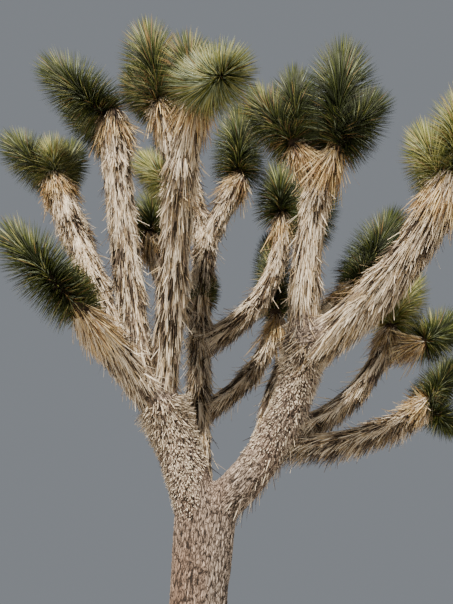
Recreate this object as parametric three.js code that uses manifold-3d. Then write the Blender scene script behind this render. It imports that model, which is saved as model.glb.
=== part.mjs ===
// A joshua tree: one leaning trunk that forks a little above head height, thick limbs that fork again
// and again, and a dense head of dagger leaves at the end of every limb.
// Millimetres, +Z up. The origin is the middle of the flat cut under the trunk, at ground level, and
// the tree's front faces -Y.
import * as THREE from "three";
import { mergeVertices } from "three/addons/utils/BufferGeometryUtils.js";
import Module from "manifold-3d";

// Clearances between pieces that meet.
const CLEAR = 0.3; // between touching solids
const LEAF_CLEAR = 1.5; // round a leaf, to everything that isn't its own head

// The trunk's foot, and the fork at its top.
const FOOT_SPREAD = 1.75; // the flare at the ground, as a multiple of the trunk's radius
const FOOT_HEIGHT = 620; // how far up the flare reaches
const FOOT_LOBES = 5; // low ridges round the flare, where the main roots set off
const SECOND_LOBES = 3; // a second, slower set that makes them uneven
const LOBE_DEPTH = 0.05; // of the radius
const FORK_SWELL = 26; // how much the trunk thickens again under its fork
const SWELL_LENGTH = 620; // over this length
const PARTING_DEPTH = 0.07; // of the radius: below the fork the trunk is two ridges, one for each bough
const PARTING_START = 1200; // the height at which they begin to show
const PARTING_LENGTH = 1200; // over this length they reach their full depth
const TRUNK_SIDES = 18;
const LIMB_SIDES = 8;
const RING_SPACING = 320; // along a limb, between its rings of vertices
const RING_CROWDING = 1.3; // above 1 the trunk's rings crowd towards its foot, where its outline curves
const END_ROUNDING = 0.65; // length of a limb's rounded end, as a share of its radius there
const ROOT_ROUNDING = 0.6; // the same for its root, inside the limb that carries it
const SHOULDER = { out: 0.78, along: 0.62 }; // the ring half round such an end, as shares of it

// A head: a short stem packed with leaf bases, and dagger leaves that stand out of it all round.
const CORE_SHARE = 0.42; // radius of the packed core, as a share of the leaf's length
const CORE_SIDES = 6;
const NECK = 0.55; // radius of the core where it leaves the limb, as a share of its full radius
const BELLY = 0.5; // share of the stem at which the core is full
const BROW = { out: 0.9, past: 0.3 }; // where its tip starts to round, as shares of its radius
const GOLDEN_ANGLE = Math.PI * (3 - Math.sqrt(5)); // from each leaf to the next, round the stem
const LEAVES_AT_LEAST = 15;
const STEM_PER_LEAF = 42; // length of stem that adds one more leaf
const LEAF_SPREAD = 0.25; // half the blade's width at its root, as a share of its length
const LEAF_FLATNESS = 0.36; // thickness against width
const FIRST_LEAF = 0.16; // share of the stem, where it leaves the limb, that has no leaves
const TIP_LEAN = 14; // degrees between the stem and the youngest leaves, at its tip
const FOOT_LEAN = 115; // the same for the oldest leaves, which droop back past level
const LEAN_EASE = 1.8; // above 1 the lean falls off faster towards the tip
const LEAF_TRIES = [1, 0.82, 0.66]; // lengths tried before a leaf that would touch is skipped

const BARK = new THREE.MeshStandardMaterial({ color: "#85735f", roughness: 0.95, metalness: 0 });
const THATCH = new THREE.MeshStandardMaterial({ color: "#b09d82", roughness: 0.9, metalness: 0 });
const LEAF = new THREE.MeshStandardMaterial({ color: "#7d8650", roughness: 0.6, metalness: 0 });

// Every limb grows on another: at is the share of the carrier's length where it sets out. leaves and
// arrives are the ways it points at its start and its end, each as [degrees round from +X towards +Y,
// degrees above level], and girth is its radius there, with the thatch of dead leaves on it.
const LIMBS = [
  { name: "trunk",
    length: 2650, leaves: [0, 90], arrives: [0, 84.5], girth: [185, 158] },
  { name: "left_bough", on: "trunk", at: 0.9,
    length: 850, leaves: [-170, 75], arrives: [-165, 65], girth: [142, 140] },
  { name: "right_bough", on: "trunk", at: 0.94,
    length: 1300, leaves: [0, 36], arrives: [-65, 74], girth: [130, 120] },
  { name: "low_left_limb", on: "left_bough", at: 0.97,
    length: 840, leaves: [-145, 42], arrives: [-122, 22], girth: [102, 72] },
  { name: "outer_left_limb", on: "low_left_limb", at: 0.56,
    length: 2200, leaves: [117, 52], arrives: [151, 64], girth: [84, 110] },
  { name: "inner_left_limb", on: "low_left_limb", at: 0.28,
    length: 2300, leaves: [130, 75], arrives: [177, 82.5], girth: [92, 114] },
  { name: "front_limb", on: "left_bough", at: 1,
    length: 1600, leaves: [-72, 72], arrives: [-82, 64], girth: [84, 108] },
  { name: "front_fork_left", on: "front_limb", at: 0.95,
    length: 600, leaves: [-155, 75], arrives: [140, 70], girth: [92, 84] },
  { name: "front_fork_right", on: "front_limb", at: 0.95,
    length: 540, leaves: [-60, 70], arrives: [-68, 60], girth: [104, 94] },
  { name: "shaded_limb", on: "trunk", at: 0.9,
    length: 2500, leaves: [104, 70.5], arrives: [69, 80], girth: [70, 70] },
  { name: "shaded_fork_right", on: "shaded_limb", at: 0.95,
    length: 900, leaves: [45, 70], arrives: [40, 60], girth: [68, 90] },
  { name: "shaded_fork_back", on: "shaded_limb", at: 0.95,
    length: 1300, leaves: [115, 70], arrives: [150, 72], girth: [70, 85] },
  { name: "stub_limb", on: "shaded_limb", at: 0.66,
    length: 1100, leaves: [149, 45], arrives: [130, 73], girth: [50, 72] },
  { name: "middle_limb", on: "shaded_limb", at: 0.59,
    length: 1750, leaves: [32, 31], arrives: [95, 81.5], girth: [82, 66] },
  { name: "crossing_limb", on: "shaded_limb", at: 0.35,
    length: 1480, leaves: [42, 33], arrives: [70, 59], girth: [50, 60] },
  { name: "back_left_limb", on: "left_bough", at: 0.8,
    length: 3100, leaves: [125, 55], arrives: [130, 85], girth: [65, 80] },
  { name: "tall_limb", on: "right_bough", at: 0.97,
    length: 1150, leaves: [-100, 80], arrives: [-30, 73], girth: [115, 83] },
  { name: "tall_fork_left", on: "tall_limb", at: 0.95,
    length: 440, leaves: [-120, 80], arrives: [145, 56], girth: [78, 74] },
  { name: "tall_fork_right", on: "tall_limb", at: 0.95,
    length: 330, leaves: [-40, 68], arrives: [-35, 54], girth: [78, 74] },
  { name: "hidden_limb", on: "right_bough", at: 0.42,
    length: 1920, leaves: [85, 60], arrives: [16, 40], girth: [78, 62] },
  { name: "back_right_limb", on: "right_bough", at: 0.75,
    length: 1600, leaves: [80, 55], arrives: [45, 78], girth: [70, 80] },
  { name: "long_limb", on: "right_bough", at: 0.97,
    length: 1500, leaves: [-20, 26], arrives: [-35, 62], girth: [122, 128] },
  { name: "outer_right_limb", on: "right_bough", at: 0.54,
    length: 1530, leaves: [35, 17], arrives: [38, 65], girth: [57, 62] },
  { name: "short_fork", on: "outer_right_limb", at: 0.85,
    length: 380, leaves: [30, 28], arrives: [15, 8], girth: [56, 54] },
  { name: "low_right_limb", on: "right_bough", at: 0.49,
    length: 1360, leaves: [30, 0], arrives: [20, 37], girth: [65, 60] },
];

// Every head sits on a limb's end. stem is the length of its leafy stem, heading the way it points, as
// above, and leaf the length of its leaves.
const HEADS = [
  { name: "low_left_head", on: "low_left_limb", at: 0.98,
    stem: 570, heading: [-160, 43], leaf: 240 },
  { name: "low_left_side_head", on: "low_left_limb", at: 0.93,
    stem: 300, heading: [165, 60], leaf: 160 },
  { name: "outer_left_head", on: "outer_left_limb", at: 0.98,
    stem: 450, heading: [-178, 43], leaf: 245 },
  { name: "outer_left_pale_head", on: "outer_left_limb", at: 0.98,
    stem: 220, heading: [-115, 75], leaf: 220 },
  { name: "outer_left_back_head", on: "outer_left_limb", at: 0.95,
    stem: 450, heading: [75, 66], leaf: 220 },
  { name: "inner_left_head", on: "inner_left_limb", at: 0.98,
    stem: 570, heading: [-172, 42], leaf: 300 },
  { name: "front_left_head", on: "front_fork_left", at: 0.95,
    stem: 580, heading: [160, 78], leaf: 280 },
  { name: "front_left_side_head", on: "front_fork_left", at: 0.9,
    stem: 400, heading: [145, 55], leaf: 220 },
  { name: "front_top_head", on: "front_fork_right", at: 0.95,
    stem: 340, heading: [140, 78], leaf: 260 },
  { name: "front_facing_head", on: "front_fork_right", at: 0.98,
    stem: 430, heading: [-60, -19], leaf: 265 },
  { name: "front_side_head", on: "front_limb", at: 0.86,
    stem: 360, heading: [155, 50], leaf: 180 },
  { name: "stub_head", on: "stub_limb", at: 0.98,
    stem: 340, heading: [70, 82], leaf: 230 },
  { name: "shaded_right_head", on: "shaded_fork_right", at: 0.98,
    stem: 660, heading: [85, 82], leaf: 290 },
  { name: "shaded_back_head", on: "shaded_fork_back", at: 0.98,
    stem: 550, heading: [110, 80], leaf: 300 },
  { name: "shaded_side_head", on: "shaded_limb", at: 0.73,
    stem: 300, heading: [80, 60], leaf: 140 },
  { name: "middle_head", on: "middle_limb", at: 0.98,
    stem: 370, heading: [110, 84], leaf: 290 },
  { name: "crossing_head", on: "crossing_limb", at: 0.95,
    stem: 800, heading: [95, 78], leaf: 210 },
  { name: "back_left_head", on: "back_left_limb", at: 0.98,
    stem: 500, heading: [175, 45], leaf: 280 },
  { name: "tall_left_head", on: "tall_fork_left", at: 0.98,
    stem: 520, heading: [0, 90], leaf: 250 },
  { name: "tall_left_side_head", on: "tall_fork_left", at: 0.95,
    stem: 520, heading: [160, 60], leaf: 260 },
  { name: "tall_right_head", on: "tall_fork_right", at: 0.98,
    stem: 720, heading: [0, 82.5], leaf: 330 },
  { name: "tall_right_side_head", on: "tall_fork_right", at: 0.98,
    stem: 360, heading: [-25, 45], leaf: 240 },
  { name: "hidden_dark_head", on: "hidden_limb", at: 0.95,
    stem: 250, heading: [0, 55], leaf: 170 },
  { name: "hidden_light_head", on: "hidden_limb", at: 0.98,
    stem: 680, heading: [15, 59], leaf: 270 },
  { name: "back_right_head", on: "back_right_limb", at: 0.98,
    stem: 480, heading: [15, 74], leaf: 220 },
  { name: "long_left_head", on: "long_limb", at: 0.93,
    stem: 400, heading: [145, 78], leaf: 235 },
  { name: "long_right_head", on: "long_limb", at: 0.98,
    stem: 520, heading: [-30, 72], leaf: 270 },
  { name: "outer_right_head", on: "outer_right_limb", at: 0.98,
    stem: 450, heading: [20, 62], leaf: 230 },
  { name: "outer_right_side_head", on: "short_fork", at: 0.98,
    stem: 280, heading: [20, 30], leaf: 250 },
  { name: "low_right_head", on: "low_right_limb", at: 0.98,
    stem: 330, heading: [15, 48], leaf: 185 },
  { name: "low_right_end_head", on: "low_right_limb", at: 0.98,
    stem: 200, heading: [15, -40], leaf: 170 },
];

const wasm = await Module();
wasm.setup();

function heading([round, rise]) {
  const turn = THREE.MathUtils.degToRad(round);
  const lift = THREE.MathUtils.degToRad(rise);
  return new THREE.Vector3(
    Math.cos(turn) * Math.cos(lift),
    Math.sin(turn) * Math.cos(lift),
    Math.sin(lift),
  );
}

// A limb's centre line: an arc that sets out one way and swings evenly round to another.
class GrowthLine extends THREE.Curve {
  constructor(start, length, leaves, arrives) {
    super();
    this.start = start;
    this.length = length;
    this.first = heading(leaves);
    this.last = heading(arrives);
    this.bend = Math.max(this.first.angleTo(this.last), 1e-4);
    this.across = this.first.clone().cross(this.last);
    if (this.across.length() < 1e-6) this.across.set(0, 1, 0).cross(this.first);
    this.across.normalize();
  }

  getPoint(share, target = new THREE.Vector3()) {
    const scale = this.length / (this.bend * Math.sin(this.bend));
    const ahead = Math.cos((1 - share) * this.bend) - Math.cos(this.bend);
    const turned = 1 - Math.cos(share * this.bend);
    return target
      .copy(this.start)
      .addScaledVector(this.first, ahead * scale)
      .addScaledVector(this.last, turned * scale);
  }

  direction(share) {
    return this.first
      .clone()
      .multiplyScalar(Math.sin((1 - share) * this.bend))
      .addScaledVector(this.last, Math.sin(share * this.bend))
      .normalize();
  }
}

// Bends a body that was turned on a lathe round +Y, from 0 to the line's length, along the line.
function bendAlong(line, geometry) {
  const place = geometry.attributes.position;
  const point = new THREE.Vector3();
  for (let i = 0; i < place.count; i++) {
    const [out, height, over] = [place.getX(i), place.getY(i), place.getZ(i)];
    const share = height / line.length;
    const side = line.direction(share).cross(line.across);
    line.getPoint(share, point);
    point.addScaledVector(side, out).addScaledVector(line.across, over);
    place.setXYZ(i, point.x, point.y, point.z);
  }
  return geometry;
}

// A closed three.js geometry as a solid that can be joined and cut.
function solidOf(geometry) {
  const bare = new THREE.BufferGeometry().setAttribute("position", geometry.attributes.position);
  const merged = mergeVertices(bare.setIndex(geometry.index), 1e-3);
  const corners = [];
  for (let i = 0; i < merged.index.count; i += 3) {
    const [a, b, c] = merged.index.array.slice(i, i + 3);
    if (a !== b && b !== c && c !== a) corners.push(a, b, c);
  }
  return new wasm.Manifold(
    new wasm.Mesh({
      numProp: 3,
      vertProperties: merged.attributes.position.array,
      triVerts: new Uint32Array(corners),
    }),
  );
}

// What a cut leaves of a body, without loose scraps.
function largestPiece(solid) {
  return solid.decompose().reduce((best, piece) => (piece.volume() > best.volume() ? piece : best));
}

function boxesMeet(a, b) {
  const [first, second] = [a.boundingBox(), b.boundingBox()];
  return [0, 1, 2].every((k) => first.min[k] <= second.max[k] && second.min[k] <= first.max[k]);
}

function touches(solid, others) {
  return others.some((other) => boxesMeet(solid, other) && solid.intersect(other).volume() > 0);
}

function cutClearOf(solid, others) {
  const near = others.filter((other) => boxesMeet(solid, other));
  return largestPiece(near.reduce((left, other) => left.subtract(other), solid));
}

// A tapering limb with a rounded end. The trunk has a flared foot as well. spare makes the same limb
// that much fatter and longer, so that its neighbours are cut clear of it.
function limbBody(limb, line, spare) {
  const [thick, slim] = limb.girth;
  const rounding = slim * END_ROUNDING;
  const full = line.length - rounding;
  const rings = Math.max(3, Math.round(full / RING_SPACING));
  const isTrunk = !limb.on;
  const profile = isTrunk ? [new THREE.Vector2(0, 0)] : roundedRoot(thick, spare);
  for (let i = 0; i <= rings; i++) {
    const height = full * (i / rings) ** (isTrunk ? RING_CROWDING : 1);
    const foot = isTrunk ? Math.max(0, 1 - height / FOOT_HEIGHT) ** 2 : 0;
    const swell = isTrunk ? FORK_SWELL * Math.max(0, 1 - (full - height) / SWELL_LENGTH) : 0;
    const radius = THREE.MathUtils.lerp(thick, slim, height / line.length) + swell;
    profile.push(new THREE.Vector2(radius * (1 + (FOOT_SPREAD - 1) * foot) + spare, height));
  }
  profile.push(new THREE.Vector2(slim * SHOULDER.out + spare, full + rounding * SHOULDER.along));
  profile.push(new THREE.Vector2(0, line.length + spare));
  const sides = isTrunk ? TRUNK_SIDES : LIMB_SIDES;
  const turned = new THREE.LatheGeometry(profile, sides);
  if (isTrunk) ridgeTrunk(turned);
  return solidOf(bendAlong(line, turned));
}

// A limb's root is rounded too, so that no edge of it stands out of the fork that it grows from.
function roundedRoot(radius, spare) {
  return [
    new THREE.Vector2(0, -radius * ROOT_ROUNDING - spare),
    new THREE.Vector2(radius * SHOULDER.out + spare, -radius * ROOT_ROUNDING * SHOULDER.along),
  ];
}

// Low ridges round the flare, which fade out above it, and the two broad ones that part at the fork.
function ridgeTrunk(geometry) {
  const place = geometry.attributes.position;
  for (let i = 0; i < place.count; i++) {
    const height = place.getY(i);
    const foot = Math.max(0, 1 - height / FOOT_HEIGHT) ** 2;
    const round = Math.atan2(place.getZ(i), place.getX(i));
    const ridges = Math.cos(FOOT_LOBES * round) + Math.sin(SECOND_LOBES * round);
    const parting = THREE.MathUtils.clamp((height - PARTING_START) / PARTING_LENGTH, 0, 1);
    const scale = 1 + LOBE_DEPTH * foot * ridges + PARTING_DEPTH * parting * Math.cos(2 * round);
    place.setXYZ(i, place.getX(i) * scale, height, place.getZ(i) * scale);
  }
}

// The packed core of a head: narrow where it leaves the limb, full along the stem, round at its tip.
function headCore(head, line, spare) {
  const radius = head.leaf * CORE_SHARE;
  const profile = [
    new THREE.Vector2(0, -spare),
    new THREE.Vector2(radius * NECK + spare, -spare),
    new THREE.Vector2(radius + spare, head.stem * BELLY),
    new THREE.Vector2(radius * BROW.out + spare, head.stem + radius * BROW.past),
    new THREE.Vector2(0, head.stem + radius + spare),
  ];
  return solidOf(bendAlong(line, new THREE.LatheGeometry(profile, CORE_SIDES)));
}

// One dagger leaf: a flattened three-sided spike that stands on the stem's axis, so its root is sunk
// well into the core. up is its share of the way along the stem, and turn its angle round it.
function daggerLeaf(head, line, up, turn, size, spare) {
  const length = head.leaf * size + spare;
  const spread = head.leaf * LEAF_SPREAD + spare;
  const spike = new THREE.ConeGeometry(spread, length, 3).translate(0, length / 2, 0);
  spike.scale(1, 1, LEAF_FLATNESS);
  const lean = THREE.MathUtils.degToRad(THREE.MathUtils.lerp(FOOT_LEAN, TIP_LEAN, up ** LEAN_EASE));
  const along = line.first;
  const out = line.across.clone().applyAxisAngle(along, turn);
  const way = along.clone().multiplyScalar(Math.cos(lean)).addScaledVector(out, Math.sin(lean));
  const flat = along.clone().cross(out).normalize();
  const thick = flat.clone().cross(way);
  spike.applyMatrix4(new THREE.Matrix4().makeBasis(flat, way, thick));
  const rise = THREE.MathUtils.lerp(FIRST_LEAF, 1, up) * head.stem;
  const root = line.start.clone().addScaledVector(along, rise);
  return solidOf(spike.translate(root.x, root.y, root.z));
}

// The place of every leaf of a head, as its share of the way up the stem and its angle round it.
function leavesOf(head) {
  const count = LEAVES_AT_LEAST + Math.round(head.stem / STEM_PER_LEAF);
  return Array.from({ length: count }, (_, i) => [(i + 0.5) / count, i * GOLDEN_ANGLE]);
}

function meshOf(name, solid, material) {
  const { vertProperties, triVerts } = solid.getMesh();
  const geometry = new THREE.BufferGeometry();
  geometry.setAttribute("position", new THREE.BufferAttribute(vertProperties, 3));
  geometry.setIndex(new THREE.BufferAttribute(triVerts, 1));
  geometry.computeVertexNormals();
  const mesh = new THREE.Mesh(geometry, material);
  mesh.name = name;
  return mesh;
}

const tree = new THREE.Group();

// Limbs, each cut clear of those that it grows on or beside.
const lines = new Map();
const fatLimbs = [];
const limbSolids = [];
const WITH_BARK = ["trunk", "left_bough", "right_bough"];
for (const limb of LIMBS) {
  const start = limb.on ? lines.get(limb.on).getPoint(limb.at) : new THREE.Vector3();
  const line = new GrowthLine(start, limb.length, limb.leaves, limb.arrives);
  lines.set(limb.name, line);
  const solid = cutClearOf(limbBody(limb, line, 0), fatLimbs);
  fatLimbs.push(limbBody(limb, line, CLEAR));
  limbSolids.push(solid);
  tree.add(meshOf(limb.name, solid, WITH_BARK.includes(limb.name) ? BARK : THATCH));
}

// Heads. All the cores come first, so that no leaf grows into another head's core.
const cores = [];
const fatCores = [];
for (const head of HEADS) {
  const start = lines.get(head.on).getPoint(head.at);
  head.line = new GrowthLine(start, head.stem, head.heading, head.heading);
  cores.push(cutClearOf(headCore(head, head.line, 0), [...fatLimbs, ...fatCores]));
  fatCores.push(headCore(head, head.line, CLEAR));
}
const finished = [];
HEADS.forEach((head, i) => {
  const others = [...limbSolids, ...finished, ...cores.slice(i + 1)];
  let body = cores[i];
  for (const [up, turn] of leavesOf(head)) {
    const size = LEAF_TRIES.find(
      (length) => !touches(daggerLeaf(head, head.line, up, turn, length, LEAF_CLEAR), others),
    );
    if (size) body = body.add(daggerLeaf(head, head.line, up, turn, size, 0));
  }
  body = largestPiece(body);
  finished.push(body);
  tree.add(meshOf(head.name, body, LEAF));
});

export default tree;
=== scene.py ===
# A joshua tree: a leaning trunk that forks above head height, thick limbs under a thatch of dead
# leaves, and a dense head of dagger leaves at the end of every limb. Metres, +Z up, with the origin
# in the middle of the cut under the trunk.
import math

import bpy
import numpy as np
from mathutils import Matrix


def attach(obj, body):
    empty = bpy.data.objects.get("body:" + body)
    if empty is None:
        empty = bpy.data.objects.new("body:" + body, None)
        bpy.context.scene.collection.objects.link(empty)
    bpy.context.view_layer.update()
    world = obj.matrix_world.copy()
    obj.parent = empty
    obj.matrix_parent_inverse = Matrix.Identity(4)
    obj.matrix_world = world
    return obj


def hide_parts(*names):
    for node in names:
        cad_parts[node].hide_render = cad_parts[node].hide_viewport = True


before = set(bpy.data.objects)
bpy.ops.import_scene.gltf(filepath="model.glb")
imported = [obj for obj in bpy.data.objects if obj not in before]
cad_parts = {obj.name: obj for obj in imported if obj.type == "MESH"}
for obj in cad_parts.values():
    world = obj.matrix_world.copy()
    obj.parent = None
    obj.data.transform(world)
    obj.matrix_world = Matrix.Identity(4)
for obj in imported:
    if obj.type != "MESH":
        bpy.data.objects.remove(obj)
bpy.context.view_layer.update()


# Camera
# The view of someone who stands 5 m in front of the tree and tilts the camera up into its crown.
EYE = (0.24, -5.0, 1.6)
TILT = math.radians(25)
FOCAL_PIXELS = 800
IMAGE_HEIGHT = 604
SENSOR = 36

camera_data = bpy.data.cameras.new("camera")
camera_data.sensor_width = SENSOR
camera_data.lens = FOCAL_PIXELS * SENSOR / IMAGE_HEIGHT
camera = bpy.data.objects.new("camera", camera_data)
camera.location = EYE
camera.rotation_euler = (math.pi / 2 + TILT, 0, 0)
bpy.context.scene.collection.objects.link(camera)
bpy.context.scene.camera = camera


# Floor and light
# A plain pale floor, one warm lamp high on the left of the camera, and a pale, even sky that fills
# the shade a little.
FLOOR_SIDE = 60
LAMP_TURN = math.radians(20)
LAMP_RISE = math.radians(52)
LAMP_WIDTH = math.radians(6)
LAMP_POWER = 9.0
SKY_POWER = 0.32


def colour(code):
    """A colour written as sRGB hex, as linear red, green, blue and alpha."""
    parts = [int(code[k:k + 2], 16) / 255 for k in (1, 3, 5)]
    return [p / 12.92 if p < 0.04045 else ((p + 0.055) / 1.055) ** 2.4 for p in parts] + [1.0]


def add(tree, kind, inputs=None, **settings):
    """Adds a node. inputs gives each socket a value, or the output that feeds it."""
    node = tree.nodes.new(kind)
    for name, value in settings.items():
        setattr(node, name, value)
    for name, value in (inputs or {}).items():
        if isinstance(value, bpy.types.NodeSocket):
            tree.links.new(value, node.inputs[name])
        else:
            node.inputs[name].default_value = value
    return node


def new_material(name):
    """An empty node material, with its tree and its output node."""
    made = bpy.data.materials.new(name)
    made.use_nodes = True
    made.node_tree.nodes.clear()
    return made, made.node_tree, made.node_tree.nodes.new("ShaderNodeOutputMaterial")


def new_piece(name, vertices, faces, material):
    """A mesh object in the tree's own frame. Every row of faces has the same number of corners."""
    mesh = bpy.data.meshes.new(name)
    faces = np.asarray(faces)
    mesh.vertices.add(len(vertices))
    mesh.vertices.foreach_set("co", np.asarray(vertices, np.float32).ravel())
    mesh.loops.add(faces.size)
    mesh.loops.foreach_set("vertex_index", faces.astype(np.int32).ravel())
    mesh.polygons.add(len(faces))
    mesh.polygons.foreach_set("loop_start", np.arange(0, faces.size, faces.shape[1], dtype=np.int32))
    mesh.update(calc_edges=True)
    mesh.validate()
    mesh.materials.append(material)
    piece = bpy.data.objects.new(name, mesh)
    bpy.context.scene.collection.objects.link(piece)
    return piece


# Trowelled plaster: matt, pale and nearly grey, so that it sets off the tree and tints it little.
plaster, nodes, out = new_material("pale_plaster")
surface = add(nodes, "ShaderNodeBsdfPrincipled", {"Base Color": colour("#b9b6af"), "Roughness": 0.9})
nodes.links.new(surface.outputs[0], out.inputs[0])
half = FLOOR_SIDE / 2
floor_corners = [(-half, -half, 0), (half, -half, 0), (half, half, 0), (-half, half, 0)]
floor = new_piece("floor", floor_corners, [(0, 1, 2, 3)], plaster)

lamp_data = bpy.data.lights.new("lamp", "SUN")
lamp_data.energy = LAMP_POWER
lamp_data.angle = LAMP_WIDTH
lamp_data.color = colour("#fff4e2")[:3]
lamp = bpy.data.objects.new("lamp", lamp_data)
lamp.rotation_euler = (math.pi / 2 - LAMP_RISE, 0, -LAMP_TURN)
bpy.context.scene.collection.objects.link(lamp)

sky = bpy.data.worlds.new("sky")
sky.use_nodes = True
sky.node_tree.nodes["Background"].inputs["Color"].default_value = colour("#d6dde6")
sky.node_tree.nodes["Background"].inputs["Strength"].default_value = SKY_POWER
bpy.context.scene.world = sky


# Bark
# The trunk and the two boughs that fork from it have shed their leaves and wear corky bark: small
# upright chips with dark furrows between them, which painted shade darkens further. The bark has grown
# over the forks without a seam.

# Every limb grew on from the side of another, swings round in an even curve and ends in a head of
# leaves. A way is (degrees round from +X towards +Y, degrees above level).
LIMBS = [  # name, carrier, share of the carrier's length, length, way at its root and at its end, radii
    ("trunk", None, 0, 2.65, (0, 90), (0, 84.5), (0.185, 0.158)),
    ("left_bough", "trunk", 0.9, 0.85, (-170, 75), (-165, 65), (0.142, 0.140)),
    ("right_bough", "trunk", 0.94, 1.3, (0, 36), (-65, 74), (0.130, 0.120)),
    ("low_left_limb", "left_bough", 0.97, 0.84, (-145, 42), (-122, 22), (0.102, 0.072)),
    ("outer_left_limb", "low_left_limb", 0.56, 2.2, (117, 52), (151, 64), (0.084, 0.110)),
    ("inner_left_limb", "low_left_limb", 0.28, 2.3, (130, 75), (177, 82.5), (0.092, 0.114)),
    ("front_limb", "left_bough", 1, 1.6, (-72, 72), (-82, 64), (0.084, 0.108)),
    ("front_fork_left", "front_limb", 0.95, 0.6, (-155, 75), (140, 70), (0.092, 0.084)),
    ("front_fork_right", "front_limb", 0.95, 0.54, (-60, 70), (-68, 60), (0.104, 0.094)),
    ("shaded_limb", "trunk", 0.9, 2.5, (104, 70.5), (69, 80), (0.070, 0.070)),
    ("shaded_fork_right", "shaded_limb", 0.95, 0.9, (45, 70), (40, 60), (0.068, 0.090)),
    ("shaded_fork_back", "shaded_limb", 0.95, 1.3, (115, 70), (150, 72), (0.070, 0.085)),
    ("stub_limb", "shaded_limb", 0.66, 1.1, (149, 45), (130, 73), (0.050, 0.072)),
    ("middle_limb", "shaded_limb", 0.59, 1.75, (32, 31), (95, 81.5), (0.082, 0.066)),
    ("crossing_limb", "shaded_limb", 0.35, 1.48, (42, 33), (70, 59), (0.050, 0.060)),
    ("back_left_limb", "left_bough", 0.8, 3.1, (125, 55), (130, 85), (0.065, 0.080)),
    ("tall_limb", "right_bough", 0.97, 1.15, (-100, 80), (-30, 73), (0.115, 0.083)),
    ("tall_fork_left", "tall_limb", 0.95, 0.44, (-120, 80), (145, 56), (0.078, 0.074)),
    ("tall_fork_right", "tall_limb", 0.95, 0.33, (-40, 68), (-35, 54), (0.078, 0.074)),
    ("hidden_limb", "right_bough", 0.42, 1.92, (85, 60), (16, 40), (0.078, 0.062)),
    ("back_right_limb", "right_bough", 0.75, 1.6, (80, 55), (45, 78), (0.070, 0.080)),
    ("long_limb", "right_bough", 0.97, 1.5, (-20, 26), (-35, 62), (0.122, 0.128)),
    ("outer_right_limb", "right_bough", 0.54, 1.53, (35, 17), (38, 65), (0.057, 0.062)),
    ("short_fork", "outer_right_limb", 0.85, 0.38, (30, 28), (15, 8), (0.056, 0.054)),
    ("low_right_limb", "right_bough", 0.49, 1.36, (30, 0), (20, 37), (0.065, 0.060)),
]
WITH_BARK = ("trunk", "left_bough", "right_bough")
BARK_GRAIN = 0.0069  # side of a face, finer than a chip
BARK_RINGS, BARK_SIDES = 40, 48
ROOT_RINGS, ROOT_SIDES = 8, 24
FORK_ROUNDS = 36  # rounds of smoothing, which fill the forks
CUT_EDGE = 0.1  # nearer the ground than this they fade, so that the cut keeps a sharp edge
CUT_SHARP = 0.2  # of that height, over which there is no smoothing
CHIP_WIDTH = 0.017
CHIP_HEIGHT = 0.085
CHIP_WAVE = 0.03  # the length of the bends in a chip's outline, and how far they go each way
CHIP_WAVER = (0.012, 0.012, 0.02)
FURROW_DEPTH = 0.005
FURROW_SHARE = 0.3  # of a chip, from its edge to its flat top
CHIP_LIFT = 0.004  # how far some chips stand out past others
CRACK_WIDTH = 0.0078  # the fine cracks that split the chips again
CRACK_HEIGHT = 0.058
CRACK_WAVE = 1 / 60  # 17 mm, the length of the bends in a crack
CRACK_WAVER = (0.010, 0.010, 0.016)
CRACK_DEPTH = 0.004
# Of these factors, the crack and furrow ones are painted shade in the cracks and furrows, and the flake
# ones make flakes worn or bleached at random.
CRACK_SHADE = (0.07, 0.055, 0.05, 1)  # these four are factors on the bark's colour; the first two are painted shade
FURROW_SHADE = (0.1, 0.08, 0.07, 1)
WORN_FLAKE = (0.75, 0.72, 0.70, 1)
BLEACHED_FLAKE = (1.4, 1.4, 1.4, 1)
RUSTY_TOP = 2.7  # the left ridge of the trunk is rusty, and the right one and the boughs are grey
RUSTY_FADE = 0.5
RUSTY_TURN = 2.2  # how soon the rust ends, going round the trunk
BOUGH_RUST, TRUNK_RUST, RIDGE_RUST = 0.35, 0.15, 0.35  # each added to the one before
PATCH_RUST = 0.6  # how much it varies from patch to patch
RUST_PATCH = (0.1, 0.1, 0.26)
LUMP_SIZE = 0.16  # the trunk's slow bumps under its chips
LUMP_DEPTH = 0.010
FOOT_SPREAD = 1.75  # the flare at the ground, as a multiple of the trunk's radius
FOOT_HEIGHT = 0.62
FOOT_LOBES = 5  # the foot's ridges, of two kinds so that they aren't even
SECOND_LOBES = 3
LOBE_DEPTH = 0.05
FORK_SWELL = 0.026  # how far the trunk widens to both sides under its fork
SWELL_LENGTH = 0.62
PARTING_DEPTH = 0.07  # below the fork the trunk is already two ridges, one for each bough
PARTING_START = 1.2
PARTING_LENGTH = 1.2
LINE_STEP = 0.05  # between the points of a growth line that a place is held against
BATCH = 20000  # places that are held against them at a time
TRUNK_END = 0.95  # share of its line at which the boughs take over
BARK_SHARE = 0.97  # of a bough's radius, which takes in its stubs
ROOT_LENGTH = 0.34  # of the limbs that set out from the bark, which it grows on to
BARK_SINK = 0.2  # how far it sinks into the thatch over that length
LIMB_SPREAD = 0.4  # how much thicker such a limb is where it sets out
SPREAD_LENGTH = 0.32


def heading(turn, rise):
    """A way given in degrees, as x, y and z of length 1."""
    turn, rise = math.radians(turn), math.radians(rise)
    flat = math.cos(rise)
    return np.array([math.cos(turn) * flat, math.sin(turn) * flat, math.sin(rise)])


def unit(ways):
    return ways / np.linalg.norm(ways, axis=-1, keepdims=True)


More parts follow.
